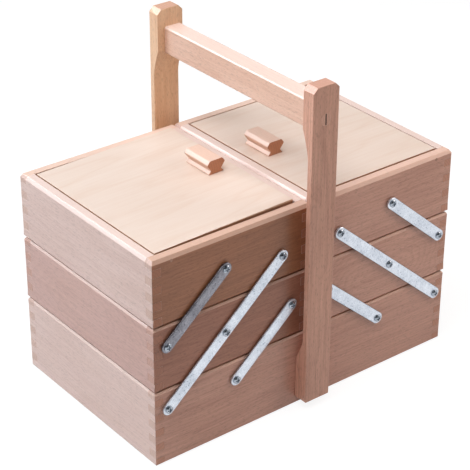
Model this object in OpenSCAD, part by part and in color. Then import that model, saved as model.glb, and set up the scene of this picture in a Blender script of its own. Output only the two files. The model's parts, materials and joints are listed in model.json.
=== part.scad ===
// Sewing carrier: a finger-jointed beech base box, two tiers of trays on each side
// that unfold on flat steel arms, a pivoting plywood lid over each top tray, and a
// carrying handle between two tall posts.
// X runs along the long side, Y from front to back and Z up. The origin is the
// middle of the base box's underside. All sizes are in millimetres.

/* [Boxes] */
// Length of the base box, along X
box_l = 360; // [320:1:420]
// Width of the base box and the trays, along Y
box_w = 214; // [180:1:250]
// Height of the base box
base_h = 81; // [76:1:96]
// Height of each tray
tray_h = 67; // [62:1:76]
// Thickness of the solid beech walls
wall_t = 10; // [9:0.5:12]
// Gap between one tier and the next
tier_gap = 1; // [0.3:0.1:1.5]
// Gap between the left and the right trays
tray_gap = 1; // [0.6:0.1:2]
// Width of the chamfer round the top edge of each box
rim_chamfer_w = 2.2; // [1:0.1:4]
// Height of that chamfer
rim_chamfer_h = 3.6; // [1:0.1:4.5]
// Easing of the lowest edge of each box
foot_ease = 1.2; // [0.5:0.1:2]
// Easing of the upright corners
corner_ease = 0.6; // [0.3:0.1:1.5]

/* [Finger joints] */
// Fingers over the height of the base box, shared by the two walls that meet
base_fingers = 10; // [6:2:14]
// Fingers over the height of a tray
tray_fingers = 8; // [4:2:12]

/* [Floors] */
// Thickness of the base box's plywood floor
base_floor_t = 4; // [3:0.5:6]
// Thickness of a tray's plywood floor
tray_floor_t = 3; // [2.5:0.5:5]
// Height of a floor's underside above the box's lowest edge
floor_up = 5; // [4:0.5:8]
// Depth of the stopped groove that holds a floor
groove_d = 4; // [3:0.5:5]

/* [Lids] */
// Thickness of the plywood lid
lid_t = 8; // [7:0.5:10]
// Gap between a lid and the front and back walls
lid_side_gap = 2; // [1:0.1:3]
// Gap between a lid and the end walls
lid_end_gap = 1.5; // [1:0.1:2]
// How far a closed lid stands above the rim
lid_proud = 0.4; // [0:0.1:1]
// Easing of the lid's edges
lid_ease = 0.5; // [0.2:0.1:1]
// Distance from the tray's outer end face to the lid's pivot
lid_pivot_in = 21; // [20:0.5:22]
// Height of the pivot above the lid's underside
lid_pivot_up = 3; // [2.8:0.1:4]
// Angle by which the closed left lid stands up at its free end
left_lid_lift = 1.1; // [0:0.1:1.5]
// Angle by which the closed right lid stands up at its free end
right_lid_lift = 0; // [0:0.1:1.5]
// Diameter of the lid's pivot pins
pin_d = 2; // [1.8:0.1:2.5]
// Diameter of a pin's head
pin_head_d = 3; // [2.6:0.1:4]
// Height of a pin's head
pin_head_h = 0.5; // [0.3:0.1:1]
// Depth of a pin in the lid
pin_grip = 12; // [8:0.5:16]
// Width of the cleat that the lid's free end rests on
rest_w = 8; // [6:0.5:12]
// Height of the cleat
rest_h = 10; // [8:0.5:14]

/* [Knobs] */
// Length of a knob, along Y
knob_l = 36; // [28:1:44]
// Width of the knob's foot
knob_foot_w = 17; // [14:0.5:20]
// Width of the knob's waist
knob_waist_w = 12; // [9:0.5:14]
// Width of the knob at its widest
knob_w = 21; // [18:0.5:24]
// Width of the knob's flat top
knob_top_w = 14.5; // [12:0.5:17]
// Height of the knob
knob_h = 14.5; // [13:0.5:18]
// Height of the foot's upright edge
knob_foot_h = 1; // [0.5:0.1:1.6]
// Height of the waist above the lid
knob_waist_h = 4; // [3:0.1:5]
// Height of the widest line above the lid
knob_wide_h = 10.3; // [9:0.1:11.5]
// Radius of the knob's upper edges
knob_round = 1.8; // [0.8:0.1:2.4]
// Distance from the middle of the carrier to the middle of a knob
knob_in = 36; // [31:0.5:60]
// Offset of the knobs behind the middle of the lid
knob_back = 7; // [-20:1:20]

/* [Arms] */
// Width of the flat steel arms
arm_w = 12; // [10:0.5:14]
// Thickness of the arms
arm_t = 2; // [1.5:0.1:2.5]
// Easing of an arm's outer edge
arm_ease = 0.3; // [0.1:0.1:0.5]
// Distance from the base's end face to the long arm's lowest pivot
long_pivot_in = 13.5; // [12:0.5:20]
// Height of the base box's pivots
base_pivot_z = 60; // [54:1:66]
// Distance from the middle of the carrier to the long arm's top pivot
long_top_in = 35.2; // [30:0.2:45]
// Height of the long arm's top pivot above the top tray's lowest edge
long_top_up = 24.2; // [20:0.2:34]
// Distance from the base's end face to the lower short arm's lowest pivot
lower_pivot_in = 91.5; // [86:0.5:98]
// Distance from the tray's end face to the upper short arm's lowest pivot
upper_pivot_in = 13.5; // [12:0.5:20]
// Height of that pivot above the middle tray's lowest edge
upper_pivot_up = 45.1; // [40:0.1:50]

/* [Pivot screws] */
// Diameter of a pivot screw's shank
screw_d = 4; // [3.5:0.1:4.5]
// Depth of a pivot screw in the wall
screw_grip = 8.5; // [6:0.5:8.5]
// Diameter of the pan head
head_d = 7.8; // [7:0.1:9]
// Height of the pan head
head_h = 2.3; // [1.8:0.1:2.8]
// Diameter of a spacing washer
washer_d = 10; // [9:0.5:12]
// Thickness of a spacing washer
washer_t = 1; // [0.8:0.1:1.5]
// Gap on each face of an arm
arm_play = 0.1; // [0.05:0.05:0.3]
// Gap round a screw at a running pivot
pivot_gap = 0.08; // [0.02:0.01:0.1]
// Gap round a screw at the free end of a short arm
free_gap = 0.3; // [0.2:0.05:0.4]
// Gap round a screw or pin in the piece that holds it
hold_gap = 0.02; // [0.01:0.01:0.05]

/* [Posts] */
// Width of a post, along X
post_w = 30; // [26:1:36]
// Thickness of the board that a post is cut from
post_t = 16.5; // [15:0.5:20]
// Height of the posts' lower ends
post_z0 = 9; // [6:1:14]
// Height of the posts' tops
post_top = 340; // [310:1:380]
// Height of the flat that is screwed to the base box
seat_h = 36; // [32:1:38]
// Gap between the post and the trays, over its middle length
post_relief = 10.5; // [8:0.5:12]
// How far the head's inner face stands off the line of the box
head_relief = 2.5; // [2:0.5:5]
// Length of the upper curve, from the relief to the head
upper_curve = 29; // [15:1:35]
// How far the upper curve runs up past the underside of the bar
head_lead = 4.5; // [0:0.5:6]
// Chamfer at the top corners of a post
post_top_chamfer = 5; // [2:0.5:7]
// Chamfer at the bottom corners of a post
post_foot_chamfer = 1; // [0.5:0.5:6]
// Easing of a post's outer edges
post_ease = 0.5; // [0.3:0.1:2]
// Easing of the edges of the flat that lies on the base box
seat_ease = 1.2; // [0.3:0.1:1.5]
// Diameter of the screws that hold the posts
post_screw_d = 4; // [3.5:0.1:4.5]
// Length of those screws
post_screw_l = 23; // [20:1:24]
// Diameter of their countersunk heads
post_screw_head_d = 8; // [7:0.5:9]

/* [Handle] */
// Width of the handle bar, along X
bar_w = 19.4; // [17:0.2:24]
// Height of the handle bar's section
bar_h = 28.5; // [24:0.5:32]
// Offset of the bar from the line of its tenons, to the right
bar_shift = 3; // [-3:0.5:3]
// Distance from the posts' tops down to the bar
bar_drop = 18.5; // [14:0.5:24]
// Radius of the bar's edges
bar_round = 2.5; // [1:0.5:5]
// Diameter of the tenons that pass through the posts
tenon_d = 12; // [10:0.5:14]
// Thickness of a wedge at the outside
wedge_t = 1.3; // [1:0.1:2]
// Thickness of a wedge at its thin end
wedge_tip_t = 0.4; // [0.2:0.1:0.6]
// Width of a wedge
wedge_w = 10.8; // [8:0.2:11]
// Depth of a wedge in the tenon
wedge_l = 10; // [6:0.5:11]

/* [Hidden] */
$fn = 48;
BEECH = "#cfa083";
BEECH_LIGHT = "#dcb59b";
PLYWOOD = "#ecd7bd";
ZINC = "#c6ccd4";
DARK_STEEL = "#6b625c";
WEDGE = "#5c3f2e";

half_l = box_l / 2;
RIM = [rim_chamfer_w, rim_chamfer_h];
half_w = box_w / 2;
tray_l = half_l - tray_gap / 2;
middle_z = base_h + tier_gap;
top_z = middle_z + tray_h + tier_gap;
rim_z = top_z + tray_h;
lid_top = rim_z + lid_proud;
lid_z = lid_top - lid_t;
lid_x0 = tray_gap / 2 + wall_t + lid_end_gap;
lid_x1 = half_l - wall_t - lid_end_gap;
lid_half_w = half_w - wall_t - lid_side_gap;
lid_pivot = [half_l - lid_pivot_in, lid_z + lid_pivot_up];
// How far a cut runs past the face that it opens
cut_past = 1;

// Pivots of the right-hand arms, as [x, z]. The three pivots of the long arm lie
// on one line at one pitch, and the short arms run parallel to it.
long_base = [half_l - long_pivot_in, base_pivot_z];
long_top = [long_top_in, top_z + long_top_up];
arm_step = (long_top - long_base) / 2;
long_middle = long_base + arm_step;
lower_base = [half_l - lower_pivot_in, base_pivot_z];
lower_middle = lower_base + arm_step;
upper_middle = [half_l - upper_pivot_in, middle_z + upper_pivot_up];
upper_top = upper_middle + arm_step;
BASE_PIVOTS = [long_base, lower_base];
MIDDLE_PIVOTS = [long_middle, lower_middle, upper_middle];
TOP_PIVOTS = [long_top, upper_top];
arm_pitch = norm(arm_step);
arm_angle = atan2(arm_step.y, arm_step.x);
arm_out = washer_t + arm_play;
head_out = arm_out + arm_t + arm_play;

post_screw_zs = [post_z0 + 0.28 * seat_h, post_z0 + 0.75 * seat_h];
bar_z1 = post_top - bar_drop;
bar_zm = bar_z1 - bar_h / 2;
tenon_l = post_t - head_relief;

// Everything is drawn on the right-hand side and at the front, then mirrored
module on_side(side) {
    mirror([side == "left" ? 1 : 0, 0, 0]) children();
}

module on_face(face) {
    mirror([0, face == "back" ? 1 : 0, 0]) children();
}

module on_both_faces() {
    on_face("front") children();
    on_face("back") children();
}

// A frame on the front face of the boxes: x along it, y up it, z out of it
module face_frame() {
    translate([0, -half_w, 0]) rotate([90, 0, 0]) children();
}

// Points of an arc that rounds the corner b of the path a, b, c
function arc_corner(a, b, c, r, steps) =
    let (u = (a - b) / norm(a - b), v = (c - b) / norm(c - b))
    let (half = acos(u * v) / 2, m = (u + v) / norm(u + v))
    let (centre = b + m * r / sin(half))
    let (from = b + u * r / tan(half) - centre, to = b + v * r / tan(half) - centre)
    let (a0 = atan2(from.y, from.x), a1 = atan2(to.y, to.x))
    let (turn = a1 - a0 > 180 ? a1 - a0 - 360 : a1 - a0 < -180 ? a1 - a0 + 360 : a1 - a0)
    [for (i = [0:steps]) centre + r * [cos(a0 + turn * i / steps), sin(a0 + turn * i / steps)]];

// Points of a cutter's run-out, which leaves [u0, z0] upright and meets [u1, z1] at an angle
function run_out(u0, z0, u1, z1, steps) =
    [for (i = [0:steps]) [u0 + (u1 - u0) * pow(i / steps, 1.4), z0 + (z1 - z0) * i / steps]];

// Points of a smooth bend from [u0, z0] to [u1, z1] that leaves and arrives upright
function s_bend(u0, z0, u1, z1, steps) =
    [for (i = [0:steps]) [u0 + (u1 - u0) * (1 - cos(180 * i / steps)) / 2, z0 + (z1 - z0) * i / steps]];

// Rectangle with chamfered lower and upper corners, its lower left corner at the
// origin. The top chamfer is given as [width, height].
module eased_outline(l, h, foot, top) {
    polygon([[foot, 0], [l - foot, 0], [l, foot], [l, h - top.y],
             [l - top.x, h], [top.x, h], [0, h - top.y], [0, foot]]);
}

// Block with eased edges, from x = 0, centred on y = 0 and standing on z = 0
module eased_block(l, w, h, foot, top, corner) {
    intersection() {
        translate([0, w / 2, 0]) rotate([90, 0, 0]) linear_extrude(w) eased_outline(l, h, foot, top);
        rotate([90, 0, 90]) linear_extrude(l) translate([-w / 2, 0]) eased_outline(w, h, foot, top);
        linear_extrude(h) translate([0, -w / 2]) eased_outline(l, w, corner, [corner, corner]);
    }
}

// Space that a floor panel fills, grooves included, in a box of length l
module floor_space(l, t) {
    inset = wall_t - groove_d;
    translate([inset, -half_w + inset, floor_up]) cube([l - 2 * inset, box_w - 2 * inset, t]);
}

// Front wall of a box, with the first, third and every other finger from the top
module face_wall(l, h, fingers, top, floor_t) {
    finger_h = h / fingers;
    difference() {
        intersection() {
            eased_block(l, box_w, h, foot_ease, top, corner_ease);
            translate([0, -half_w, 0]) union() {
                translate([wall_t, 0, 0]) cube([l - 2 * wall_t, wall_t, h]);
                for (i = [1:2:fingers - 1]) translate([0, 0, i * finger_h]) cube([l, wall_t, finger_h]);
            }
        }
        floor_space(l, floor_t);
    }
}

// End wall at x = 0, with the fingers that the front and back walls leave
module end_wall(l, h, fingers, top, floor_t) {
    finger_h = h / fingers;
    difference() {
        intersection() {
            eased_block(l, box_w, h, foot_ease, top, corner_ease);
            translate([0, -half_w, 0]) union() {
                translate([0, wall_t, 0]) cube([wall_t, box_w - 2 * wall_t, h]);
                for (i = [0:2:fingers - 1]) translate([0, 0, i * finger_h]) cube([wall_t, box_w, finger_h]);
            }
        }
        floor_space(l, floor_t);
    }
}

// Holes for the pivot screws at points, given as [x, z] on the front face
module pivot_holes(points) {
    face_frame() for (p = points) translate([p.x, p.y, -screw_grip - hold_gap])
        cylinder(d = screw_d + 2 * hold_gap, h = screw_grip + cut_past);
}

// Screw hole for a lid's pin
module pin_hole(gap, from, to) {
    face_frame() translate([lid_pivot.x, lid_pivot.y, -to]) cylinder(d = pin_d + 2 * gap, h = to - from);
}

// Base box
module base_face_wall(face) {
    color(BEECH) on_face(face) difference() {
        translate([-half_l, 0, 0]) face_wall(box_l, base_h, base_fingers, RIM, base_floor_t);
        for (side = ["left", "right"]) on_side(side) pivot_holes(BASE_PIVOTS);
        for (z = post_screw_zs) post_screw(z, hold_gap);
    }
}

module base_end(side) {
    color(BEECH_LIGHT) on_side(side) mirror([1, 0, 0]) translate([-half_l, 0, 0])
        end_wall(box_l, base_h, base_fingers, RIM, base_floor_t);
}

module base_floor() {
    color(PLYWOOD) translate([-half_l, 0, 0]) floor_space(box_l, base_floor_t);
}

// Trays
module tray_face_wall(side, z, points, face) {
    color(BEECH) on_side(side) on_face(face) difference() {
        translate([tray_gap / 2, 0, z]) face_wall(tray_l, tray_h, tray_fingers, RIM, tray_floor_t);
        pivot_holes(points);
        if (z == top_z) pin_hole(hold_gap, -cut_past, wall_t + cut_past);
    }
}

module tray_inner_end(side, z) {
    color(BEECH_LIGHT) on_side(side) translate([tray_gap / 2, 0, z])
        end_wall(tray_l, tray_h, tray_fingers, RIM, tray_floor_t);
}

module tray_outer_end(side, z) {
    color(BEECH_LIGHT) on_side(side) translate([half_l, 0, z]) mirror([1, 0, 0])
        end_wall(tray_l, tray_h, tray_fingers, RIM, tray_floor_t);
}

module tray_floor(side, z) {
    color(PLYWOOD) on_side(side) translate([tray_gap / 2, 0, z]) floor_space(tray_l, tray_floor_t);
}

// Lids, which turn on two pins each. A closed lid rests on a cleat, which holds its
// free end up by the angle of its lift.
function lift(side) = side == "left" ? left_lid_lift : right_lid_lift;

module lifted(side) {
    translate([lid_pivot.x, 0, lid_pivot.y]) rotate([0, lift(side), 0])
        translate([-lid_pivot.x, 0, -lid_pivot.y]) children();
}

module lid(side) {
    color(PLYWOOD) on_side(side) lifted(side) difference() {
        translate([lid_x0, 0, lid_z])
            eased_block(lid_x1 - lid_x0, 2 * lid_half_w, lid_t, lid_ease, [lid_ease, lid_ease], lid_ease);
        on_both_faces() pin_hole(pivot_gap, 0, wall_t + lid_side_gap + pin_grip + cut_past);
    }
}

module lid_pins(side) {
    color(DARK_STEEL) on_side(side) on_both_faces() {
        pin_hole(0, 0, wall_t + lid_side_gap + pin_grip);
        face_frame() translate([lid_pivot.x, lid_pivot.y, 0]) dome_head(pin_head_d, pin_head_h);
    }
}

module lid_rest(side) {
    reach = lid_pivot.x - tray_gap / 2 - wall_t - rest_w;
    top = lid_pivot.y + reach * tan(lift(side)) - lid_pivot_up / cos(lift(side));
    color(BEECH) on_side(side) translate([tray_gap / 2 + wall_t, -half_w + wall_t, top - rest_h])
        cube([rest_w, box_w - 2 * wall_t, rest_h]);
}

// Knobs, cut from a moulded strip
module knob(side) {
    foot = knob_foot_w / 2;
    waist = knob_waist_w / 2;
    wide = knob_w / 2;
    flat = knob_top_w / 2;
    right = concat(
        [[foot, 0], [foot, knob_foot_h], [waist, knob_waist_h]],
        arc_corner([waist, knob_waist_h], [wide, knob_wide_h], [flat, knob_h], knob_round, 6),
        arc_corner([wide, knob_wide_h], [flat, knob_h], [0, knob_h], knob_round, 6)
    );
    left = [for (i = [len(right) - 1:-1:0]) [-right[i].x, right[i].y]];
    color(BEECH) on_side(side) lifted(side) translate([knob_in, knob_back + knob_l / 2, lid_top])
        rotate([90, 0, 0]) linear_extrude(knob_l) polygon(concat(right, left));
}

// Flat steel arms. The outer edge of an arm is eased, and its ends are round.
module arm_blank(l) {
    r = arm_w / 2;
    flat_t = arm_t - arm_ease;
    for (x = [0, l]) translate([x, 0, 0]) {
        cylinder(r = r, h = flat_t);
        translate([0, 0, flat_t]) cylinder(r1 = r, r2 = r - arm_ease, h = arm_ease);
    }
    rotate([90, 0, 90]) linear_extrude(l)
        polygon([[-r, 0], [r, 0], [r, flat_t], [r - arm_ease, arm_t], [-r + arm_ease, arm_t], [-r, flat_t]]);
}

// Arm from pivot p, with one hole per gap in the list, a pitch apart
module arm(side, face, p, gaps) {
    color(ZINC) on_side(side) on_face(face) face_frame()
        translate([p.x, p.y, arm_out]) rotate([0, 0, arm_angle]) difference() {
            arm_blank(arm_pitch * (len(gaps) - 1));
            for (i = [0:len(gaps) - 1]) translate([i * arm_pitch, 0, -cut_past])
                cylinder(d = screw_d + 2 * gaps[i], h = arm_t + 2 * cut_past);
        }
}

module long_arm(side, face) {
    arm(side, face, long_base, [pivot_gap, pivot_gap, pivot_gap]);
}

module lower_arm(side, face) {
    arm(side, face, lower_base, [pivot_gap, free_gap]);
}

module upper_arm(side, face) {
    arm(side, face, upper_middle, [pivot_gap, free_gap]);
}

// Low domed head on z = 0, with a short upright rim
module dome_head(d, h) {
    rim = 0.35 * h;
    rise = h - rim;
    ball_r = (d * d / 4 + rise * rise) / (2 * rise);
    intersection() {
        cylinder(d = d, h = h);
        translate([0, 0, h - ball_r]) sphere(r = ball_r);
    }
}

// Pan-head screw with a cross recess, on the front face at p
module pivot_screw(p) {
    slot = [0.62 * head_d, 0.16 * head_d, head_h];
    face_frame() translate([p.x, p.y, 0]) difference() {
        union() {
            translate([0, 0, -screw_grip]) cylinder(d = screw_d, h = screw_grip + head_out);
            translate([0, 0, head_out]) dome_head(head_d, head_h);
        }
        for (a = [0, 90]) rotate([0, 0, a]) translate([-slot.x / 2, -slot.y / 2, head_out + 0.4 * head_h])
            cube(slot);
    }
}

module pivot_washer(p) {
    face_frame() translate([p.x, p.y, 0]) difference() {
        cylinder(d = washer_d, h = washer_t);
        translate([0, 0, -cut_past]) cylinder(d = screw_d + 2 * hold_gap, h = washer_t + 2 * cut_past);
    }
}

module pivot_screws(side, points) {
    color(ZINC) on_side(side) on_both_faces() for (p = points) pivot_screw(p);
}

module pivot_washers(side, points) {
    color(ZINC) on_side(side) on_both_faces() for (p = points) pivot_washer(p);
}

module base_pivot_screws() {
    pivot_screws("left", BASE_PIVOTS);
    pivot_screws("right", BASE_PIVOTS);
}

module base_pivot_washers() {
    pivot_washers("left", BASE_PIVOTS);
    pivot_washers("right", BASE_PIVOTS);
}

// Countersunk screw from inside the base box into a post's foot, at height z
module post_screw(z, gap) {
    r = post_screw_d / 2 + gap;
    head_r = post_screw_head_d / 2 + gap;
    face_frame() translate([0, z, -wall_t]) {
        cylinder(r = r, h = post_screw_l + gap);
        cylinder(r1 = head_r, r2 = r, h = head_r - r);
    }
}

module post_screws() {
    color(ZINC) on_both_faces() for (z = post_screw_zs) post_screw(z, 0);
}

// Posts. The inner face bends out, clear of the trays by the base box's rim, and
// back again under the head.
module post(face) {
    steps = 20;
    seat_z = post_z0 + seat_h;
    head_z = bar_z1 - bar_h + head_lead;
    profile = concat(
        [[post_t, post_z0], [0, post_z0]],
        s_bend(0, seat_z, post_relief, base_h, steps),
        run_out(post_relief, head_z - upper_curve, head_relief, head_z, steps),
        [[head_relief, post_top], [post_t, post_top]]
    );
    color(BEECH) on_face(face) difference() {
        translate([0, -half_w, 0]) intersection() {
            translate([-post_w / 2, 0, 0]) rotate([90, 0, -90]) mirror([0, 0, 1])
                linear_extrude(post_w) polygon(profile);
            translate([-post_w / 2, 0, post_z0]) rotate([90, 0, 0]) linear_extrude(post_t)
                eased_outline(post_w, post_top - post_z0, post_foot_chamfer,
                              [post_top_chamfer, post_top_chamfer]);
            translate([-post_w / 2, -post_t, 0]) linear_extrude(post_top)
                eased_outline(post_w, post_t, post_ease, [seat_ease, seat_ease]);
        }
        face_frame() translate([0, bar_zm, 0]) cylinder(d = tenon_d + 2 * hold_gap, h = post_t + cut_past);
        for (z = post_screw_zs) post_screw(z, hold_gap);
    }
}

// Handle bar, with a round tenon at each end, split for its wedge
module rounded_rectangle(w, h, r) {
    square([w, h - 2 * r], center = true);
    square([w - 2 * r, h], center = true);
    for (x = [-1, 1], y = [-1, 1]) translate([x * (w / 2 - r), y * (h / 2 - r)]) circle(r = r);
}

module wedge(gap) {
    face_frame() translate([0, bar_zm, post_t]) rotate([90, 0, 0]) translate([0, 0, -wedge_w / 2 - gap])
        linear_extrude(wedge_w + 2 * gap)
            polygon([[-wedge_t / 2 - gap, gap], [wedge_t / 2 + gap, gap],
                     [wedge_tip_t / 2 + gap, -wedge_l - gap], [-wedge_tip_t / 2 - gap, -wedge_l - gap]]);
}

module handle_bar() {
    bar_l = box_w + 2 * head_relief;
    color(BEECH_LIGHT) difference() {
        union() {
            translate([bar_shift, bar_l / 2, bar_zm]) rotate([90, 0, 0])
                linear_extrude(bar_l) rounded_rectangle(bar_w, bar_h, bar_round);
            on_both_faces() face_frame() translate([0, bar_zm, head_relief - cut_past])
                cylinder(d = tenon_d, h = tenon_l + cut_past);
        }
        on_both_faces() wedge(hold_gap);
    }
}

module handle_wedges() {
    color(WEDGE) on_both_faces() wedge(0);
}

base_face_wall("front");  // base_front_wall
base_face_wall("back");  // base_back_wall
base_end("left");  // base_left_end
base_end("right");  // base_right_end
base_floor();

tray_face_wall("left", middle_z, MIDDLE_PIVOTS, "front");  // left_middle_front_wall
tray_face_wall("left", middle_z, MIDDLE_PIVOTS, "back");  // left_middle_back_wall
tray_outer_end("left", middle_z);  // left_middle_outer_end
tray_inner_end("left", middle_z);  // left_middle_inner_end
tray_floor("left", middle_z);  // left_middle_floor

tray_face_wall("right", middle_z, MIDDLE_PIVOTS, "front");  // right_middle_front_wall
tray_face_wall("right", middle_z, MIDDLE_PIVOTS, "back");  // right_middle_back_wall
tray_outer_end("right", middle_z);  // right_middle_outer_end
tray_inner_end("right", middle_z);  // right_middle_inner_end
tray_floor("right", middle_z);  // right_middle_floor

tray_face_wall("left", top_z, TOP_PIVOTS, "front");  // left_top_front_wall
tray_face_wall("left", top_z, TOP_PIVOTS, "back");  // left_top_back_wall
tray_outer_end("left", top_z);  // left_top_outer_end
tray_inner_end("left", top_z);  // left_top_inner_end
tray_floor("left", top_z);  // left_top_floor

tray_face_wall("right", top_z, TOP_PIVOTS, "front");  // right_top_front_wall
tray_face_wall("right", top_z, TOP_PIVOTS, "back");  // right_top_back_wall
tray_outer_end("right", top_z);  // right_top_outer_end
tray_inner_end("right", top_z);  // right_top_inner_end
tray_floor("right", top_z);  // right_top_floor

lid("left");  // left_lid
lid("right");  // right_lid
knob("left");  // left_knob
knob("right");  // right_knob
lid_pins("left");  // left_lid_pins
lid_pins("right");  // right_lid_pins
lid_rest("left");  // left_lid_rest
lid_rest("right");  // right_lid_rest

post("front");  // front_post
post("back");  // back_post
handle_bar();
handle_wedges();
post_screws();

long_arm("left", "front");  // left_front_long_arm
long_arm("left", "back");  // left_back_long_arm
long_arm("right", "front");  // right_front_long_arm
long_arm("right", "back");  // right_back_long_arm
lower_arm("left", "front");  // left_front_lower_arm
lower_arm("left", "back");  // left_back_lower_arm
lower_arm("right", "front");  // right_front_lower_arm
lower_arm("right", "back");  // right_back_lower_arm
upper_arm("left", "front");  // left_front_upper_arm
upper_arm("left", "back");  // left_back_upper_arm
upper_arm("right", "front");  // right_front_upper_arm
upper_arm("right", "back");  // right_back_upper_arm

base_pivot_screws();
pivot_screws("left", MIDDLE_PIVOTS);  // left_middle_pivot_screws
pivot_screws("right", MIDDLE_PIVOTS);  // right_middle_pivot_screws
pivot_screws("left", TOP_PIVOTS);  // left_top_pivot_screws
pivot_screws("right", TOP_PIVOTS);  // right_top_pivot_screws
base_pivot_washers();
pivot_washers("left", MIDDLE_PIVOTS);  // left_middle_pivot_washers
pivot_washers("right", MIDDLE_PIVOTS);  // right_middle_pivot_washers
pivot_washers("left", TOP_PIVOTS);  // left_top_pivot_washers
pivot_washers("right", TOP_PIVOTS);  // right_top_pivot_washers
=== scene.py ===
"""Looks of the sewing carrier: lacquered beech boxes, plywood lids and zinc-plated
steel arms, each piece standing for the solid of the same name in the frame."""

import json
from math import radians

import bmesh
import bpy
from mathutils import Matrix, Vector

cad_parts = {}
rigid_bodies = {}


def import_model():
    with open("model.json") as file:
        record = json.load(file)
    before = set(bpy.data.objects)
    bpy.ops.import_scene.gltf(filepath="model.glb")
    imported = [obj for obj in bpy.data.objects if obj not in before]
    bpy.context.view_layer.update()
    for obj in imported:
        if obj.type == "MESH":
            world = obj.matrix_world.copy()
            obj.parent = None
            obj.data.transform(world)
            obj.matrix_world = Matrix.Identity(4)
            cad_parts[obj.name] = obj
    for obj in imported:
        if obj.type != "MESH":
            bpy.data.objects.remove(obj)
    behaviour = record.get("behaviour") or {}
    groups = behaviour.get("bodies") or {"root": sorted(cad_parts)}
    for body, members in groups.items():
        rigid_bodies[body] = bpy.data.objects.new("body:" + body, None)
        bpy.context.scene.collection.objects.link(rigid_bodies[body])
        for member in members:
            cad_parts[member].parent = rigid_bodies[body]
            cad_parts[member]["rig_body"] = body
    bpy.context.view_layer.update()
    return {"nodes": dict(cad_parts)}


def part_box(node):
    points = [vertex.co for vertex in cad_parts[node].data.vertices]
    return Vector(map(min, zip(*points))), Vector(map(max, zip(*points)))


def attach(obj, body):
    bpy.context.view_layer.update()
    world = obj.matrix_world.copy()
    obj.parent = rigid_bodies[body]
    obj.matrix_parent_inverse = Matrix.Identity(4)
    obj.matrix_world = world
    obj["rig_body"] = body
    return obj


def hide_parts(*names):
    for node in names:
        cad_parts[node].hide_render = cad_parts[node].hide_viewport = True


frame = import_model()

MM = 0.001

# Camera, from the photograph's perspective
CAMERA_AT = Vector((-0.8878, -1.1220, 0.9381))
CAMERA_AZIMUTH = 38.24   # degrees from +Y towards +X
CAMERA_DOWN = 29.29      # degrees below level
CAMERA_ROLL = 0.27
CAMERA_LENS = 127.7      # mm on a 36 mm sensor
CAMERA_SHIFT = -0.0018

# Studio: what the camera and reflections see of the floor is a glow, plus a part
# that shadows can take away
FLOOR_PAPER = "#c6c6c6"  # the floor as the lamps find it
FLOOR_GLOW = 0.88
FLOOR_SHADOW = 0.2
FLOOR_HALF = 6.0         # metres
AIR = 0.05               # soft light from all round

# Surround: bright on the side that the camera looks to, and dim on the other. The
# two levels of the fade are cosines of the angle from the bright side.
BACKDROP_SIDE = (0.62, 0.78, 0.0)
BACKDROP_FADE = (-0.45, 0.0)
DIM_SIDE = 0.12

# Lamps: name, place, diameter in metres, watts and colour
LAMPS_AIM = (0.0, 0.0, 0.13)
LAMPS = (("overhead", (-0.4, 0.0, 2.15), 2.0, 27.0, "#fdfdff"),
         ("key_left", (-1.15, -0.3, 1.9), 1.5, 15.5, "#fdfdff"),
         ("low_left", (-1.6, 1.1, 1.0), 0.8, 16.5, "#f4f8ff"),
         ("fill_right", (0.85, -0.6, 0.75), 0.7, 4.2, "#ffeadc"),
         ("mirrored_card", (-1.05, 1.5, 1.32), 1.3, 48.0, "#f8faff"))

# Eased edges of the finished pieces
WOOD_EDGE = 0.35 * MM
KNOB_EDGE = 0.5 * MM
PLY_EDGE = 0.25 * MM
STEEL_EDGE = 0.3 * MM

SHORTEST_EASED = 1.3 * MM  # shorter edges belong to round holes and small chamfers
EASED_ANGLE = radians(25.0)
SHARP_ANGLE = radians(32.0)  # wider angles stay sharp in the shading
FLAT_ANGLE = radians(0.4)    # faces flatter than this to each other become one
MERGE = 0.002 * MM           # corners nearer than this become one

# Seams between the tiers: the solids' mouldings, and the finer ones drawn here. A
# rim below a tray is drawn lower by what its chamfer loses in height.
FOOT_EASE = 1.2 * MM
FOOT_LEFT = 0.3 * MM
RIM_WIDE, RIM_HIGH = 2.2 * MM, 3.6 * MM
SEAT_WIDE, SEAT_HIGH = 1.3 * MM, 2.2 * MM
SEAT_DROP = RIM_HIGH - SEAT_HIGH
TINY = 0.02 * MM

# Finger joints
BASE_FINGERS = 10
TRAY_FINGERS = 8
WALL_T = 10.0 * MM
GLUE_LINE = 0.4 * MM       # a real one is 0.1 mm, drawn coarser so that it shows
GLUE_SHARE = 0.6
GLUE_TONE = "#5a3a2c"

# How much each layer of the beech darkens it, counted from DEPTH_START
RING_SHARE = 0.2
STREAK_SHARE = 0.7
LINE_SHARE = 0.9
CLOUD_SHARE = 0.4
DEPTH_START = -0.72
FLECK_SHARE = 0.3
FLECK_DARK = 0.5           # a fleck's colour, as a part of the dark tone
END_RING_SHARE = 0.4
PORE_SHARE = 0.3
END_DARK = 0.66            # the rings and pores, as a part of the end grain's tone

# Painted light and highlights: faces that look up, eased edges among them, are painted paler
TOP_LIGHT_SHARE = 0.6
WALL_TOP_LIGHT = "#f2d2bf"
END_TOP_LIGHT = "#f1dcd2"
BAR_TOP_LIGHT = "#fae6dc"
KNOB_TOP_LIGHT = "#ecd0c0"

# Relief of the wood under its lacquer, and how the gloss varies about its middle
BEECH_RELIEF = {"Strength": 0.2, "Distance": 0.12 * MM}
PLY_RELIEF = {"Strength": 0.15, "Distance": 0.1 * MM}
GLOSS_LESS, GLOSS_MORE = 0.04, 0.08
END_DULLER = 0.14

# Birch plywood: how many turns the wavy figure takes, and what darkens the face
PLY_TURNS = 9.0
PLY_BAND_SHARE = 0.4
PLY_STREAK_SHARE = 0.75
PIN_KNOT = "#8a6444"
PLY_PALE = ("#dcbb9c", "#dfc0a3")
PLY_END = ("#b8876a", "#b38266")
PLY_GLUE = "#8a5a42"

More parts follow.
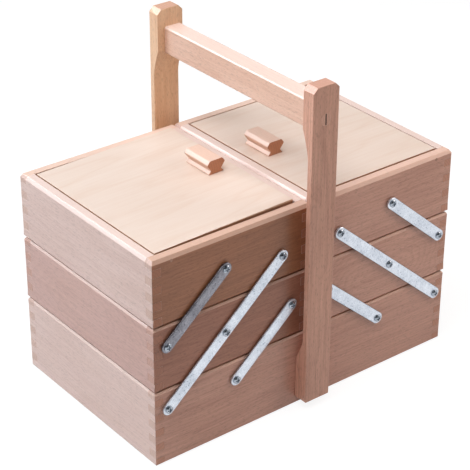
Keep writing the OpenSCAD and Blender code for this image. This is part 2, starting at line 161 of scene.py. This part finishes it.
# Zinc: what dulls it, and the relief of its crystals
CRYSTAL_SHARE = 0.45
STAIN_SHARE = 0.3
ZINC_RELIEF = {"Strength": 0.25, "Distance": 0.05 * MM}


def linear(code):
    """An sRGB hex colour as linear red, green, blue and alpha."""
    parts = [int(code[i:i + 2], 16) / 255 for i in (1, 3, 5)]
    return tuple(c / 12.92 if c <= 0.04045 else ((c + 0.055) / 1.055) ** 2.4 for c in parts) + (1.0,)


def darker(code, part):
    """A part of a colour's brightness."""
    return tuple(part * c for c in linear(code)[:3]) + (1.0,)


def add(tree, kind, settings=None, links=None):
    """Adds a node. A setting is for the socket of that name or number, or else for
    the node itself; "stops" fills a ramp. A link joins a socket to its source."""
    node = tree.nodes.new(kind)
    for name, value in (settings or {}).items():
        if name == "stops":
            ramp = node.color_ramp.elements
            while len(ramp) < len(value):
                ramp.new(0.5)
            for element, (place, colour) in zip(ramp, value):
                element.position = place
                element.color = colour
        elif isinstance(name, int) or name in node.inputs:
            node.inputs[name].default_value = value
        else:
            setattr(node, name, value)
    for name, source in (links or {}).items():
        tree.links.new(source, node.inputs[name])
    return node


def new_material(name):
    material = bpy.data.materials.new(name)
    material.use_nodes = True
    material.node_tree.nodes.clear()
    return material, material.node_tree


def grey(level):
    return (level, level, level, 1.0)


# Turns that lay a board's grain along Z of the pattern and its thickness along Y
GRAIN_TURNS = {"x": Matrix(((0, 0, -1), (0, 1, 0), (1, 0, 0))),
               "y": Matrix(((0, 0, 1), (1, 0, 0), (0, 1, 0))),
               "z": Matrix.Identity(3)}
GRAIN_AXES = {"x": (1.0, 0.0, 0.0), "y": (0.0, 1.0, 0.0), "z": (0.0, 0.0, 1.0)}


def steamed_beech(name, grain, tone, middle, pith=(0.0, 0.06), lean=0.0, bow=0.0,
                  rim=None, ends=None, joint=None, ring=3.0 * MM, gloss=0.3):
    """Steamed beech, planed and sprayed with satin lacquer: fine even grain, soft
    growth rings, short dark ray flecks, and a duller end grain. Middle is the
    board's middle. Pith says how far across and how deep under it the middle of
    the log lies, lean how many degrees the board leans in the log, and bow how
    far the log bends, per metre. Rim is a paler tone painted on the faces that
    look up, as painted light from above; ends another tone of end grain, and
    joint is the foot of its finger joints, the height of a finger, and how far
    from the board's middle they begin. Ring is the width of a year's growth, and
    gloss the roughness of the lacquer."""
    light, warm, dark, end = tone
    end = ends or end
    material, tree = new_material(name)
    place = add(tree, "ShaderNodeTexCoord")
    turn = Matrix.Rotation(radians(lean), 3, "X") @ GRAIN_TURNS[grain]
    in_log = add(tree, "ShaderNodeMapping",
                 {"Location": Vector((pith[0], pith[1], 0.0)) - turn @ middle, "Rotation": turn.to_euler()},
                 {"Vector": place.outputs["Object"]})

    def noise(scale, detail=3.0, roughness=0.55):
        sized = add(tree, "ShaderNodeMapping", {"Scale": scale}, {"Vector": in_log.outputs["Vector"]})
        return add(tree, "ShaderNodeTexNoise", {"Scale": 1.0, "Detail": detail, "Roughness": roughness},
                   {"Vector": sized.outputs["Vector"]})

    # Growth rings: the distance from the pith, wandering by up to 15 mm in cells of
    # 70 mm across the board and 250 mm along it
    wander = noise((14.0, 14.0, 4.0))
    parts = add(tree, "ShaderNodeSeparateXYZ", links={0: in_log.outputs["Vector"]})
    length = add(tree, "ShaderNodeMath", {"operation": "MULTIPLY"},
                 {0: parts.outputs["Z"], 1: parts.outputs["Z"]})
    bent = add(tree, "ShaderNodeMath", {"operation": "MULTIPLY_ADD", 1: bow},
               {0: length.outputs[0], 2: parts.outputs["Y"]})
    across = add(tree, "ShaderNodeCombineXYZ", links={"X": parts.outputs["X"], "Y": bent.outputs[0]})
    sway = add(tree, "ShaderNodeVectorMath",
               {"operation": "MULTIPLY_ADD", 1: (0.03, 0.03, 0.0), 2: (-0.015, -0.015, 0.0)},
               {0: wander.outputs["Color"]})
    swayed = add(tree, "ShaderNodeVectorMath", {"operation": "ADD"},
                 {0: across.outputs[0], 1: sway.outputs[0]})
    reach = add(tree, "ShaderNodeVectorMath", {"operation": "LENGTH"}, {0: swayed.outputs[0]})
    count = add(tree, "ShaderNodeMath", {"operation": "DIVIDE", 1: ring}, {0: reach.outputs["Value"]})
    year = add(tree, "ShaderNodeMath", {"operation": "FRACT"}, {0: count.outputs[0]})
    rings = add(tree, "ShaderNodeValToRGB",
                {"stops": [(0.0, grey(0.1)), (0.5, grey(0.2)), (0.82, grey(0.8)),
                           (0.92, grey(1.0)), (1.0, grey(0.1))]},
                {"Fac": year.outputs[0]})

    # Streaks 7 mm wide and 140 mm long, lines 1.6 mm by 70 mm, clouds of about
    # 100 mm, and a blush of 30 mm by 80 mm between the light and the warm tone
    streaks = noise((150.0, 150.0, 7.0), 4.0, 0.6)
    lines = noise((620.0, 620.0, 14.0), 2.0)
    clouds = noise((12.0, 12.0, 9.0), 2.0)
    blush = noise((34.0, 34.0, 12.0), 2.0)

    # Ray flecks: real ones are 0.3 by 2 mm, drawn in cells of 0.9 by 4 mm so that
    # they show
    fleck = noise((1150.0, 1150.0, 240.0), 1.0)
    flecks = add(tree, "ShaderNodeValToRGB", {"stops": [(0.55, grey(0.0)), (0.7, grey(1.0))]},
                 {"Fac": fleck.outputs["Fac"]})

    # Colour along the grain: each layer takes its share between light and dark
    depth = None
    for layer, share in ((rings.outputs["Color"], RING_SHARE), (streaks.outputs["Fac"], STREAK_SHARE),
                         (lines.outputs["Fac"], LINE_SHARE), (clouds.outputs["Fac"], CLOUD_SHARE)):
        depth = add(tree, "ShaderNodeMath", {"operation": "MULTIPLY_ADD", 1: share, 2: DEPTH_START},
                    {0: layer, **({2: depth.outputs[0]} if depth else {})})
    base = add(tree, "ShaderNodeMix", {"data_type": "RGBA", 6: linear(light), 7: linear(warm)},
               {"Factor": blush.outputs["Fac"]})
    along = add(tree, "ShaderNodeMix", {"data_type": "RGBA", 7: linear(dark)},
                {"Factor": depth.outputs[0], 6: base.outputs[2]})
    fleck_share = add(tree, "ShaderNodeMath", {"operation": "MULTIPLY", 1: FLECK_SHARE},
                      {0: flecks.outputs["Color"]})
    flecked = add(tree, "ShaderNodeMix", {"data_type": "RGBA", 7: darker(dark, FLECK_DARK)},
                  {"Factor": fleck_share.outputs[0], 6: along.outputs[2]})

    # Painted light: a paler colour where the board looks up, standing for light from above
    upright = add(tree, "ShaderNodeSeparateXYZ", links={0: place.outputs["Normal"]})
    top_light_mask = add(tree, "ShaderNodeMapRange",
                 {"From Min": 0.1, "From Max": 0.6, "To Max": TOP_LIGHT_SHARE if rim else 0.0},
                 {"Value": upright.outputs["Z"]})
    top_lit = add(tree, "ShaderNodeMix", {"data_type": "RGBA", 7: linear(rim or light)},
                 {"Factor": top_light_mask.outputs["Result"], 6: flecked.outputs[2]})

    # End grain: faces that the grain meets head on, with rings, and with pores drawn
    # in cells of 0.8 mm so that they show
    facing = add(tree, "ShaderNodeVectorMath", {"operation": "DOT_PRODUCT", 1: GRAIN_AXES[grain]},
                 {0: place.outputs["Normal"]})
    head_on = add(tree, "ShaderNodeMath", {"operation": "ABSOLUTE"}, {0: facing.outputs["Value"]})
    is_end = add(tree, "ShaderNodeValToRGB", {"stops": [(0.6, grey(0.0)), (0.85, grey(1.0))]},
                 {"Fac": head_on.outputs[0]})
    pore = add(tree, "ShaderNodeTexNoise", {"Scale": 1300.0, "Detail": 1.0},
               {"Vector": in_log.outputs["Vector"]})
    pores = add(tree, "ShaderNodeValToRGB", {"stops": [(0.42, grey(0.0)), (0.66, grey(1.0))]},
                {"Fac": pore.outputs["Fac"]})
    pore_share = add(tree, "ShaderNodeMath", {"operation": "MULTIPLY", 1: PORE_SHARE},
                     {0: pores.outputs["Color"]})
    end_depth = add(tree, "ShaderNodeMath", {"operation": "MULTIPLY_ADD", 1: END_RING_SHARE},
                    {0: rings.outputs["Color"], 2: pore_share.outputs[0]})
    end_grain = add(tree, "ShaderNodeMix",
                    {"data_type": "RGBA", 6: linear(end), 7: darker(end, END_DARK)},
                    {"Factor": end_depth.outputs[0]})
    grained = add(tree, "ShaderNodeMix", {"data_type": "RGBA"},
                  {"Factor": is_end.outputs["Color"], 6: top_lit.outputs[2], 7: end_grain.outputs[2]})
    colour = grained
    if joint:
        # Glue lines between the fingers, on the sides of the board near its ends
        foot, finger, begins = joint
        at = add(tree, "ShaderNodeSeparateXYZ", links={0: place.outputs["Object"]})
        rise = add(tree, "ShaderNodeMath",
                   {"operation": "MULTIPLY_ADD", 1: 1 / finger, 2: -foot / finger}, {0: at.outputs["Z"]})
        apart = add(tree, "ShaderNodeMath", {"operation": "PINGPONG", 1: 0.5}, {0: rise.outputs[0]})
        on_line = add(tree, "ShaderNodeMath", {"operation": "LESS_THAN", 1: GLUE_LINE / 2 / finger},
                      {0: apart.outputs[0]})
        far = add(tree, "ShaderNodeMath", {"operation": "ABSOLUTE"}, {0: parts.outputs["Z"]})
        in_joint = add(tree, "ShaderNodeMath", {"operation": "GREATER_THAN", 1: begins},
                       {0: far.outputs[0]})
        glued = add(tree, "ShaderNodeMath", {"operation": "MULTIPLY"},
                    {0: on_line.outputs[0], 1: in_joint.outputs[0]})
        on_side = add(tree, "ShaderNodeMath", {"operation": "LESS_THAN", 1: 0.5},
                      {0: upright.outputs["Z"]})
        shown = add(tree, "ShaderNodeMath", {"operation": "MULTIPLY"},
                    {0: glued.outputs[0], 1: on_side.outputs[0]})
        share = add(tree, "ShaderNodeMath", {"operation": "MULTIPLY", 1: GLUE_SHARE},
                    {0: shown.outputs[0]})
        colour = add(tree, "ShaderNodeMix", {"data_type": "RGBA", 7: linear(GLUE_TONE)},
                     {"Factor": share.outputs[0], 6: grained.outputs[2]})

    # Lacquer: satin, a little duller over the end grain
    shine = add(tree, "ShaderNodeMapRange", {"To Min": gloss - GLOSS_LESS, "To Max": gloss + GLOSS_MORE},
                {"Value": streaks.outputs["Fac"]})
    rough = add(tree, "ShaderNodeMath", {"operation": "MULTIPLY_ADD", 1: END_DULLER},
                {0: is_end.outputs["Color"], 2: shine.outputs["Result"]})
    relief = add(tree, "ShaderNodeMath", {"operation": "MULTIPLY_ADD", 1: -0.5},
                 {0: flecks.outputs["Color"], 2: streaks.outputs["Fac"]})
    bump = add(tree, "ShaderNodeBump", BEECH_RELIEF, {"Height": relief.outputs[0]})
    shader = add(tree, "ShaderNodeBsdfPrincipled", {"IOR": 1.47, "Specular IOR Level": 0.5},
                 {"Base Color": colour.outputs[2], "Roughness": rough.outputs[0],
                  "Normal": bump.outputs["Normal"]})
    add(tree, "ShaderNodeOutputMaterial", links={"Surface": shader.outputs[0]})
    return material


def plywood(name, face, line, ply_t, floor_z, gloss):
    """Peeled birch plywood: a pale, wide and wavy figure along X on the faces, and
    crossed plies of ply_t as stripes on the edges, counted up from floor_z. The
    figure wanders over 450 mm along the sheet and 70 mm across it, and its streaks
    are 3 mm wide and 110 mm long."""
    material, tree = new_material(name)
    place = add(tree, "ShaderNodeTexCoord")
    slow = add(tree, "ShaderNodeMapping", {"Scale": (2.2, 15.0, 15.0)},
               {"Vector": place.outputs["Object"]})
    wander = add(tree, "ShaderNodeTexNoise", {"Scale": 1.0, "Detail": 3.0, "Roughness": 0.5},
                 {"Vector": slow.outputs["Vector"]})
    level = add(tree, "ShaderNodeMath", {"operation": "MULTIPLY", 1: PLY_TURNS},
                {0: wander.outputs["Fac"]})
    band = add(tree, "ShaderNodeMath", {"operation": "PINGPONG", 1: 0.5}, {0: level.outputs[0]})
    bands = add(tree, "ShaderNodeValToRGB",
                {"stops": [(0.0, grey(1.0)), (0.12, grey(0.45)), (0.5, grey(0.0))]},
                {"Fac": band.outputs[0]})
    long_way = add(tree, "ShaderNodeMapping", {"Scale": (9.0, 320.0, 320.0)},
                   {"Vector": place.outputs["Object"]})
    streaks = add(tree, "ShaderNodeTexNoise", {"Scale": 1.0, "Detail": 4.0, "Roughness": 0.6},
                  {"Vector": long_way.outputs["Vector"]})
    band_share = add(tree, "ShaderNodeMath", {"operation": "MULTIPLY", 1: PLY_BAND_SHARE},
                     {0: bands.outputs["Color"]})
    depth = add(tree, "ShaderNodeMath",
                {"operation": "MULTIPLY_ADD", 1: PLY_STREAK_SHARE, "use_clamp": True},
                {0: streaks.outputs["Fac"], 2: band_share.outputs[0]})
    figure = add(tree, "ShaderNodeMix", {"data_type": "RGBA", 6: linear(face), 7: linear(line)},
                 {"Factor": depth.outputs[0]})

    # Pin knots: brown specks 2 to 3 mm across, in cells of 70 mm
    speck = add(tree, "ShaderNodeTexVoronoi", {"Scale": 14.0}, {"Vector": place.outputs["Object"]})
    specks = add(tree, "ShaderNodeValToRGB", {"stops": [(0.012, grey(0.75)), (0.022, grey(0.0))]},
                 {"Fac": speck.outputs["Distance"]})
    knotted = add(tree, "ShaderNodeMix", {"data_type": "RGBA", 7: linear(PIN_KNOT)},
                  {"Factor": specks.outputs["Color"], 6: figure.outputs[2]})

    # Edges: every second ply shows its end grain, with dark glue between the plies
    split = add(tree, "ShaderNodeSeparateXYZ", links={0: place.outputs["Object"]})
    height = add(tree, "ShaderNodeMath", {"operation": "ADD", 1: -floor_z}, {0: split.outputs["Z"]})
    plies = add(tree, "ShaderNodeMath", {"operation": "DIVIDE", 1: 2 * ply_t}, {0: height.outputs[0]})
    turn = add(tree, "ShaderNodeMath", {"operation": "FRACT"}, {0: plies.outputs[0]})
    stripe = add(tree, "ShaderNodeValToRGB",
                 {"stops": [(0.0, linear(PLY_PALE[0])), (0.47, linear(PLY_PALE[1])),
                            (0.5, linear(PLY_GLUE)), (0.53, linear(PLY_END[0])),
                            (0.97, linear(PLY_END[1])), (1.0, linear(PLY_GLUE))]},
                 {"Fac": turn.outputs[0]})
    upright = add(tree, "ShaderNodeSeparateXYZ", links={0: place.outputs["Normal"]})
    flatness = add(tree, "ShaderNodeMath", {"operation": "ABSOLUTE"}, {0: upright.outputs["Z"]})
    is_face = add(tree, "ShaderNodeValToRGB", {"stops": [(0.5, grey(0.0)), (0.62, grey(1.0))]},
                  {"Fac": flatness.outputs[0]})
    colour = add(tree, "ShaderNodeMix", {"data_type": "RGBA"},
                 {"Factor": is_face.outputs["Color"], 6: stripe.outputs["Color"], 7: knotted.outputs[2]})
    bump = add(tree, "ShaderNodeBump", PLY_RELIEF, {"Height": streaks.outputs["Fac"]})
    rough = add(tree, "ShaderNodeMapRange", {"To Min": gloss - GLOSS_LESS, "To Max": gloss + GLOSS_MORE},
                {"Value": streaks.outputs["Fac"]})
    shader = add(tree, "ShaderNodeBsdfPrincipled", {"IOR": 1.45, "Specular IOR Level": 0.4},
                 {"Base Color": colour.outputs[2], "Roughness": rough.outputs["Result"],
                  "Normal": bump.outputs["Normal"]})
    add(tree, "ShaderNodeOutputMaterial", links={"Surface": shader.outputs[0]})
    return material


def zinc_plate(name, bright, dull, speckle, rough_low, rough_high):
    """Blue-passivated zinc on cold-rolled steel: a fine crystalline speckle, dull
    spots of about 1 mm, faint cloudy stains of 14 mm, and a soft gleam. Speckle is
    how many crystals lie on a metre: real ones are finer, and these are drawn
    coarse enough to show."""
    material, tree = new_material(name)
    place = add(tree, "ShaderNodeTexCoord")
    crystal = add(tree, "ShaderNodeTexNoise", {"Scale": speckle, "Detail": 2.0, "Roughness": 0.7},
                  {"Vector": place.outputs["Object"]})
    crystals = add(tree, "ShaderNodeMapRange", {"From Min": 0.32, "From Max": 0.68},
                   {"Value": crystal.outputs["Fac"]})
    cloud = add(tree, "ShaderNodeTexNoise", {"Scale": 70.0, "Detail": 2.0},
                {"Vector": place.outputs["Object"]})
    clouds = add(tree, "ShaderNodeMapRange", {"From Min": 0.35, "From Max": 0.65},
                 {"Value": cloud.outputs["Fac"]})
    spot = add(tree, "ShaderNodeTexVoronoi", {"Scale": 300.0}, {"Vector": place.outputs["Object"]})
    spots = add(tree, "ShaderNodeValToRGB", {"stops": [(0.12, grey(1.0)), (0.26, grey(0.0))]},
                {"Fac": spot.outputs["Distance"]})
    spotted = add(tree, "ShaderNodeMath", {"operation": "MULTIPLY"},
                  {0: spots.outputs["Color"], 1: clouds.outputs["Result"]})
    mottle = add(tree, "ShaderNodeMath", {"operation": "MULTIPLY_ADD", 1: CRYSTAL_SHARE},
                 {0: crystals.outputs["Result"], 2: spotted.outputs[0]})
    stained = add(tree, "ShaderNodeMath",
                  {"operation": "MULTIPLY_ADD", 1: STAIN_SHARE, "use_clamp": True},
                  {0: clouds.outputs["Result"], 2: mottle.outputs[0]})
    colour = add(tree, "ShaderNodeMix", {"data_type": "RGBA", 6: linear(bright), 7: linear(dull)},
                 {"Factor": stained.outputs[0]})
    rough = add(tree, "ShaderNodeMapRange", {"To Min": rough_low, "To Max": rough_high},
                {"Value": crystals.outputs["Result"]})
    bump = add(tree, "ShaderNodeBump", ZINC_RELIEF, {"Height": crystal.outputs["Fac"]})
    shader = add(tree, "ShaderNodeBsdfPrincipled", {"Metallic": 1.0},
                 {"Base Color": colour.outputs[2], "Roughness": rough.outputs["Result"],
                  "Normal": bump.outputs["Normal"]})
    add(tree, "ShaderNodeOutputMaterial", links={"Surface": shader.outputs[0]})
    return material


# Tones of the wood: light, warm and dark along the grain, and end grain. A board's
# fourth tone is for the end grain of the boards that meet it at a corner.
TONES = {
    # The end boards' tone is paler and greyer than the face boards': painted sheen and light on the end
    # faces
    "painted_sheen_end_boards": ("#e8d0c9", "#e6cabd", "#cfaea3", "#dcbcae"),
    "rosy_end": ("#d6b3ab", "#d5ae9f", "#bb9288", "#cea394"),
    "face_boards": ("#e9b8a5", "#e2ad96", "#b98470", "#d69d85"),
    "dark_face": ("#c08871", "#b87e63", "#925d48", "#b9826b"),
    "brown_face": ("#be8360", "#b47852", "#8a583f", "#b97f62"),
    # A paler copy of the face boards' tone: painted light where the light from above falls on the top
    # trays' back walls
    "painted_lit_face": ("#efd4c6", "#eacbb8", "#cda893", "#dcbcae"),
    "post": ("#e9b8a2", "#e8b095", "#b47e6a", "#d5a18b"),
    # The back post's tone is paler and more orange than the front post's: painted light, standing for the
    # light that the lids throw onto its inner face
    "back_post_painted_light": ("#fad8b8", "#f6cca2", "#daa57d", "#d9a78c"),
    "bar": ("#f3d2c0", "#efc6ae", "#d4a58b", "#e6b49e"),
    "knob": ("#e6c1ac", "#e5bda2", "#c99a82", "#c58664"),
    "wedge": ("#6a4630", "#6a4630", "#4f3222", "#5a3a28"),
}

# Boards with a tone or a figure of their own: tone, pith, lean and bow
OWN_BOARDS = {
    "left_top_front_wall": ("brown_face", (0.02, 0.05), 2.0, 0.0),
    "left_middle_front_wall": ("dark_face", (-0.03, 0.045), -3.0, 0.0),
    "right_middle_front_wall": ("face_boards", (0.0, 0.02), 1.0, 3.2),
    "left_middle_outer_end": ("rosy_end", (0.0, 0.028), 0.0, 1.3),
    # The top trays' back walls take the paler tone: painted light
    "left_top_back_wall": ("painted_lit_face", (-0.04, 0.06), 1.0, 0.0),
    "right_top_back_wall": ("painted_lit_face", (0.04, 0.06), -1.0, 0.0),
}


def crisp_seams(shape, low, high, carries, lifted):
    """Draws a board's mouldings finer where two tiers meet. Low and high are the
    corners of its box. Carries is for a board that a tray hangs over, and lifted
    for a board of a tray."""
    for vertex in shape.verts:
        spot = vertex.co
        inset = min(spot.x - low.x, high.x - spot.x), min(spot.y - low.y, high.y - spot.y)
        shrink = up = None
        if lifted and spot.z - low.z < FOOT_EASE + TINY and min(inset) < FOOT_EASE + TINY:
            shrink, reach = FOOT_LEFT / FOOT_EASE, FOOT_EASE
            up = low.z + (spot.z - low.z) * shrink
        elif carries and high.z - spot.z < RIM_HIGH + TINY:
            shrink, reach = SEAT_WIDE / RIM_WIDE, RIM_WIDE
            up = high.z - SEAT_DROP - (high.z - spot.z) * SEAT_HIGH / RIM_HIGH
        if up is None:
            continue
        for axis in (0, 1):
            if inset[axis] < reach + TINY:
                side = low if spot[axis] - low[axis] < high[axis] - spot[axis] else high
                spot[axis] = side[axis] + (spot[axis] - side[axis]) * shrink
        spot.z = up


def finished_copy(node, edge, seam=None):
    """A copy of a frame piece with merged faces and its long sharp edges eased."""
    piece = bpy.data.objects.new(node + "_finished", frame["nodes"][node].data.copy())
    bpy.context.scene.collection.objects.link(piece)
    shape = bmesh.new()
    shape.from_mesh(piece.data)
    bmesh.ops.remove_doubles(shape, verts=shape.verts, dist=MERGE)
    bmesh.ops.dissolve_limit(shape, angle_limit=FLAT_ANGLE, verts=shape.verts, edges=shape.edges)
    if seam:
        crisp_seams(shape, *seam)
    sharp = [e for e in shape.edges if e.is_manifold and e.calc_length() > SHORTEST_EASED
             and e.calc_face_angle(0.0) > EASED_ANGLE]
    if edge and sharp:
        bmesh.ops.bevel(shape, geom=sharp, offset=edge, offset_type="OFFSET", affect="EDGES",
                        segments=2, profile=0.5, material=-1, clamp_overlap=False)
    shape.to_mesh(piece.data)
    shape.free()
    piece.data.polygons.foreach_set("use_smooth", [True] * len(piece.data.polygons))
    piece.data.set_sharp_from_angle(angle=SHARP_ANGLE)
    even = piece.modifiers.new("even_shading", "WEIGHTED_NORMAL")
    even.keep_sharp = True
    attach(piece, frame["nodes"][node]["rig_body"])
    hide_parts(node)
    return piece


def give(piece, material):
    piece.data.materials.clear()
    piece.data.materials.append(material)


def beech_for(node, grain, tone, **figure):
    low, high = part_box(node)
    return steamed_beech(node + "_beech", grain, TONES[tone], (low + high) / 2, **figure)


def box_of(node):
    """Name of the box that a board belongs to, and the corners of that box."""
    box = next(name for name in ("base", "left_middle", "right_middle", "left_top", "right_top")
               if node.startswith(name))
    corners = [corner for n in frame["nodes"] if n.startswith(box) and n.endswith(("_wall", "_end"))
               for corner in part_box(n)]
    return box, *(Vector([pick(c[axis] for c in corners) for axis in range(3)]) for pick in (min, max))


def tone_of(board):
    if board in OWN_BOARDS:
        return OWN_BOARDS[board][0]
    return "face_boards" if board.endswith("_wall") else "painted_sheen_end_boards"


def dress_boards():
    """Beech walls, each board from its own place in the log."""
    boards = sorted(n for n in frame["nodes"] if n.endswith(("_wall", "_end")))
    for number, node in enumerate(boards):
        along_x = node.endswith("_wall")
        side = 1 if number % 2 else -1
        plain = (tone_of(node), (side * 0.05, 0.05 + 0.011 * (number % 5)),
                 side * (0.6 + 0.5 * (number % 4)), 0.0)
        tone, pith, lean, bow = OWN_BOARDS.get(node, plain)
        box, low, high = box_of(node)
        # End grain shows beside the other board of the corner, in a like tone
        beside = tone_of(box + ("_outer_end" if along_x else "_front_wall"))
        finger = (high.z - low.z) / (BASE_FINGERS if box == "base" else TRAY_FINGERS)
        own_low, own_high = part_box(node)
        half = (own_high - own_low)[0 if along_x else 1] / 2
        give(finished_copy(node, WOOD_EDGE, seam=(low, high, "_top" not in box, box != "base")),
             beech_for(node, "x" if along_x else "y", tone, pith=pith, lean=lean, bow=bow,
                       rim=WALL_TOP_LIGHT if along_x else END_TOP_LIGHT, ends=TONES[beside][3],
                       joint=(low.z, finger, half - WALL_T)))


def dress_handle():
    """Posts and bar with their wedges, the lids' cleats, and the knobs."""
    for node, grain, tone, pith in (("front_post", "z", "post", (0.012, 0.07)),
                                    ("back_post", "z", "back_post_painted_light", (-0.02, 0.08)),
                                    ("handle_bar", "y", "bar", (0.02, 0.07))):
        give(finished_copy(node, WOOD_EDGE),
             beech_for(node, grain, tone, pith=pith, lean=0.6, rim=BAR_TOP_LIGHT if tone == "bar" else None))
    for node in ("left_lid_rest", "right_lid_rest"):
        give(finished_copy(node, WOOD_EDGE), beech_for(node, "y", "face_boards"))
    for node in ("left_knob", "right_knob"):
        give(finished_copy(node, KNOB_EDGE),
             beech_for(node, "y", "knob", pith=(0.01, 0.03), rim=KNOB_TOP_LIGHT, gloss=0.46))
    give(finished_copy("handle_wedges", 0), beech_for("handle_wedges", "z", "wedge"))


def dress_plywood():
    """Lids of five plies, and floors of three."""
    lid_low, lid_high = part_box("left_lid")
    lids = plywood("birch_plywood", "#ebdcd0", "#e1cab9", (lid_high.z - lid_low.z) / 5, lid_low.z, 0.4)
    for node in ("left_lid", "right_lid"):
        give(finished_copy(node, PLY_EDGE), lids)
    for node in sorted(n for n in frame["nodes"] if n.endswith("_floor")):
        low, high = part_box(node)
        give(finished_copy(node, PLY_EDGE),
             plywood(node + "_plywood", "#e9d5bd", "#d2b491", (high.z - low.z) / 3, low.z, 0.55))


def dress_steel():
    """Arms, screws, washers and lid pins. One arm is painted darker than the rest, as a painted dark
    reflection.
    """
    strip = zinc_plate("zinc_plated_strip", "#e6ecf5", "#a4aebc", 760.0, 0.26, 0.46)
    # Painted reflection: this arm's zinc is drawn darker, standing for a dark reflection in it
    dark_reflection_strip = zinc_plate("painted_dark_reflection_strip", "#9a9aa2", "#56565e", 760.0, 0.22, 0.4)
    # The screws' zinc is drawn darker than the arms': partly their own colour, partly a painted dark
    # reflection in their heads
    screws = zinc_plate("zinc_plated_screws", "#b4bcc6", "#6d757f", 1500.0, 0.12, 0.24)
    pins = zinc_plate("browned_steel_pins", "#b8927e", "#8a6a5a", 1500.0, 0.35, 0.5)
    for node in sorted(frame["nodes"]):
        if node.endswith("_arm"):
            give(finished_copy(node, STEEL_EDGE), dark_reflection_strip if node == "left_front_upper_arm" else strip)
        elif node.endswith("_lid_pins"):
            give(finished_copy(node, 0), pins)
        elif node.endswith(("_screws", "_washers")):
            give(finished_copy(node, 0), screws)


def mirror_rays(tree):
    """1 for the rays of the camera, of reflections and of glass, else 0."""
    path = add(tree, "ShaderNodeLightPath")
    seen = add(tree, "ShaderNodeMath", {"operation": "MAXIMUM"},
               {0: path.outputs["Is Camera Ray"], 1: path.outputs["Is Glossy Ray"]})
    return path, add(tree, "ShaderNodeMath", {"operation": "MAXIMUM"},
                     {0: seen.outputs[0], 1: path.outputs["Is Transmission Ray"]})


def build_stage():
    """White floor that keeps the shadow, under a white surround that dims behind
    the camera, so that steel has something to mirror."""
    shape = bmesh.new()
    bmesh.ops.create_grid(shape, x_segments=1, y_segments=1, size=FLOOR_HALF)
    floor = bpy.data.objects.new("floor", bpy.data.meshes.new("floor"))
    shape.to_mesh(floor.data)
    shape.free()
    bpy.context.scene.collection.objects.link(floor)
    material, tree = new_material("white_floor")
    seen = mirror_rays(tree)[1]
    paper = add(tree, "ShaderNodeBsdfDiffuse", {"Color": linear(FLOOR_PAPER)})
    faint = add(tree, "ShaderNodeBsdfDiffuse", {"Color": grey(FLOOR_SHADOW)})
    glow = add(tree, "ShaderNodeEmission", {"Color": grey(1.0), "Strength": FLOOR_GLOW})
    bright = add(tree, "ShaderNodeAddShader", {}, {0: faint.outputs[0], 1: glow.outputs[0]})
    both = add(tree, "ShaderNodeMixShader", {},
               {0: seen.outputs[0], 1: paper.outputs[0], 2: bright.outputs[0]})
    add(tree, "ShaderNodeOutputMaterial", links={"Surface": both.outputs[0]})
    give(floor, material)

    world = bpy.data.worlds.new("surround")
    bpy.context.scene.world = world
    world.use_nodes = True
    tree = world.node_tree
    tree.nodes.clear()
    path, seen = mirror_rays(tree)
    place = add(tree, "ShaderNodeTexCoord")
    toward = add(tree, "ShaderNodeVectorMath", {"operation": "DOT_PRODUCT", 1: BACKDROP_SIDE},
                 {0: place.outputs["Generated"]})
    studio = add(tree, "ShaderNodeMapRange",
                 {"From Min": BACKDROP_FADE[0], "From Max": BACKDROP_FADE[1],
                  "To Min": DIM_SIDE, "To Max": 1.0},
                 {"Value": toward.outputs["Value"]})
    level = add(tree, "ShaderNodeMath", {"operation": "MAXIMUM"},
                {0: studio.outputs["Result"], 1: path.outputs["Is Camera Ray"]})
    air = add(tree, "ShaderNodeBackground", {"Color": grey(1.0), "Strength": AIR})
    white = add(tree, "ShaderNodeBackground", {"Color": grey(1.0)}, {"Strength": level.outputs[0]})
    both = add(tree, "ShaderNodeMixShader", {},
               {0: seen.outputs[0], 1: air.outputs[0], 2: white.outputs[0]})
    add(tree, "ShaderNodeOutputWorld", links={"Surface": both.outputs[0]})


def add_lamp(name, at, size, power, colour):
    lamp = bpy.data.lights.new(name, "AREA")
    lamp.shape = "DISK"
    lamp.size = size
    lamp.energy = power
    lamp.color = linear(colour)[:3]
    holder = bpy.data.objects.new(name, lamp)
    bpy.context.scene.collection.objects.link(holder)
    holder.visible_camera = False
    holder.location = at
    holder.rotation_euler = (Vector(LAMPS_AIM) - Vector(at)).to_track_quat("-Z", "Y").to_euler()
    return holder


def build_lights():
    """Soft lamps, and a card that lights nothing and shows only in the lacquer and steel."""
    for name, at, size, power, colour in LAMPS:
        holder = add_lamp(name, at, size, power, colour)
        holder.visible_diffuse = name != "mirrored_card"


def build_camera():
    camera = bpy.data.objects.new("camera", bpy.data.cameras.new("camera"))
    bpy.context.scene.collection.objects.link(camera)
    camera.data.lens = CAMERA_LENS
    camera.data.sensor_width = 36.0
    camera.data.shift_x = CAMERA_SHIFT
    turn = (Matrix.Rotation(radians(-CAMERA_AZIMUTH), 4, "Z")
            @ Matrix.Rotation(radians(90 - CAMERA_DOWN), 4, "X")
            @ Matrix.Rotation(radians(CAMERA_ROLL), 4, "Z"))
    camera.matrix_world = Matrix.Translation(CAMERA_AT) @ turn
    bpy.context.scene.camera = camera


build_camera()
dress_boards()
dress_handle()
dress_plywood()
dress_steel()
build_stage()
build_lights()
bpy.context.scene.view_settings.view_transform = "Standard"
